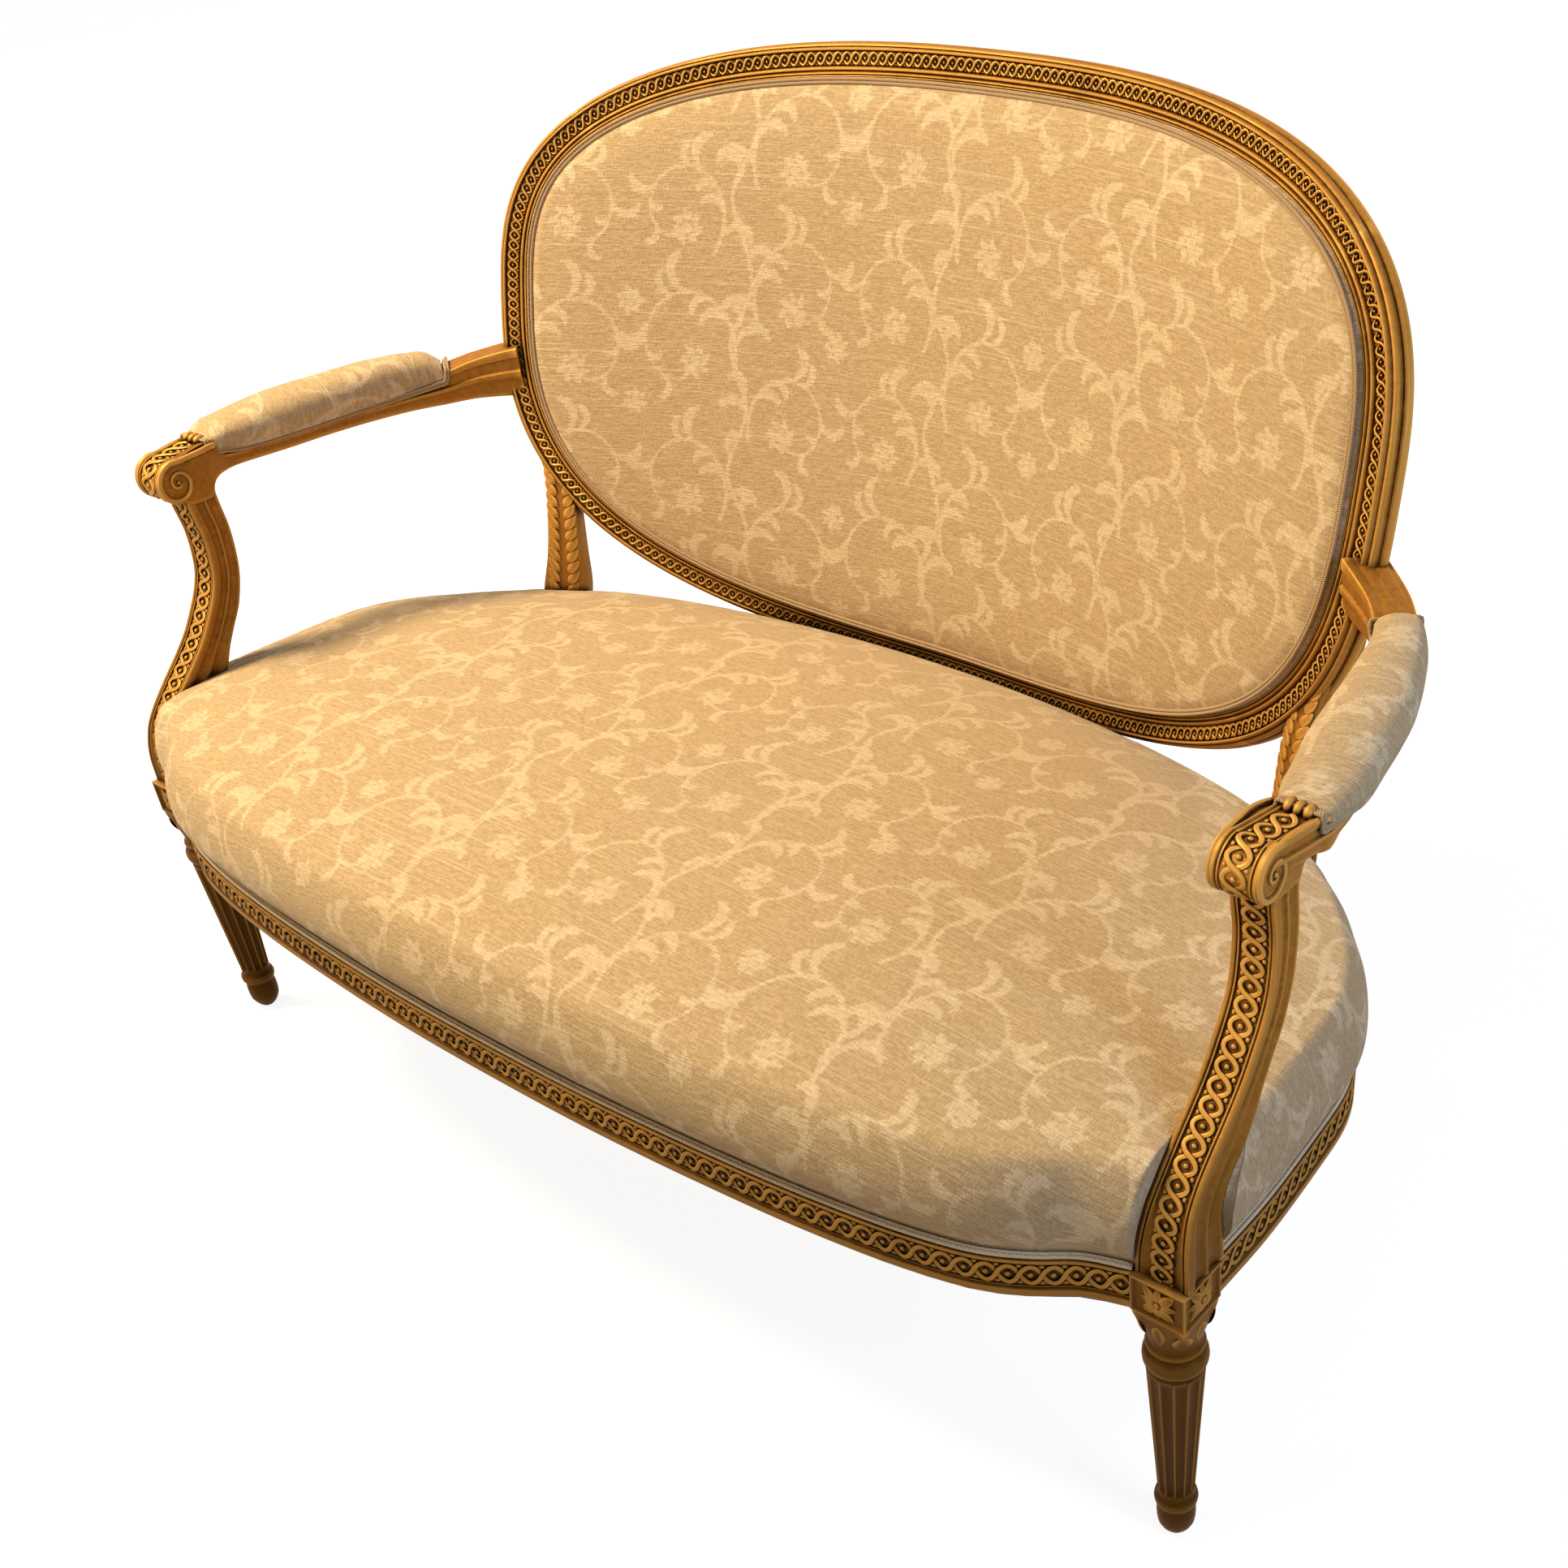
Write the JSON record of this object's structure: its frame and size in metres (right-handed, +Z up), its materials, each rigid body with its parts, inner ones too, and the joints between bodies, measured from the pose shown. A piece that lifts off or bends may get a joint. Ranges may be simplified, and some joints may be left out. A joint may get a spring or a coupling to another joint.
{
  "type": "settee",
  "caption": "Open-arm show-wood settee with an oval upholstered back wrapping forward at its ends, a domed fixed seat, padded scrolled arms and turned fluted legs.",
  "frame": {"origin": "on the floor under the middle of the object's bounding box", "axes": "+X to the sitter's left-hand end as seen from the front on the right, -Y to the front of the seat, +Z up"},
  "size_m": [1.4452, 0.8679, 1.0163],
  "materials": {
    "giltwood": "antique gilt, worn to brown in the recesses",
    "beech": "plain planed hardwood",
    "damask": "woven damask",
    "gimp_cord": "twisted cord gimp",
    "jute": "woven webbing",
    "hessian": "coarse plain weave",
    "black_cloth": "plain cotton",
    "steel": "plain screw steel"
  },
  "bodies": {
    "root": {"arm_dowel_left": "beech", "arm_dowel_right": "beech", "arm_pad_gimp_left": "gimp_cord", "arm_pad_gimp_right": "gimp_cord", "arm_pad_left": "damask", "arm_pad_right": "damask", "arm_rail_left": "giltwood", "arm_rail_right": "giltwood", "arm_support_left": "giltwood", "arm_support_right": "giltwood", "back_bottom_rail": "giltwood", "back_gimp": "gimp_cord", "back_joint_tongue_1": "beech", "back_joint_tongue_2": "beech", "back_joint_tongue_3": "beech", "back_joint_tongue_4": "beech", "back_pad": "damask", "back_post_screw_left": "steel", "back_post_screw_right": "steel", "back_stile_left": "giltwood", "back_stile_right": "giltwood", "back_top_rail": "giltwood", "back_webbing": "jute", "corner_block_left": "beech", "corner_block_right": "beech", "corner_screw_left": "steel", "corner_screw_right": "steel", "dust_cover": "black_cloth", "front_leg_left": "giltwood", "front_leg_right": "giltwood", "outside_back": "damask", "rear_leg_and_post_left": "giltwood", "rear_leg_and_post_right": "giltwood", "seat_gimp_back": "gimp_cord", "seat_gimp_front": "gimp_cord", "seat_gimp_side_left": "gimp_cord", "seat_gimp_side_right": "gimp_cord", "seat_hessian": "hessian", "seat_pad": "damask", "seat_rail_back": "beech", "seat_rail_front": "giltwood", "seat_rail_left": "giltwood", "seat_rail_right": "giltwood", "seat_webbing": "jute"}
  },
  "joints": []
}
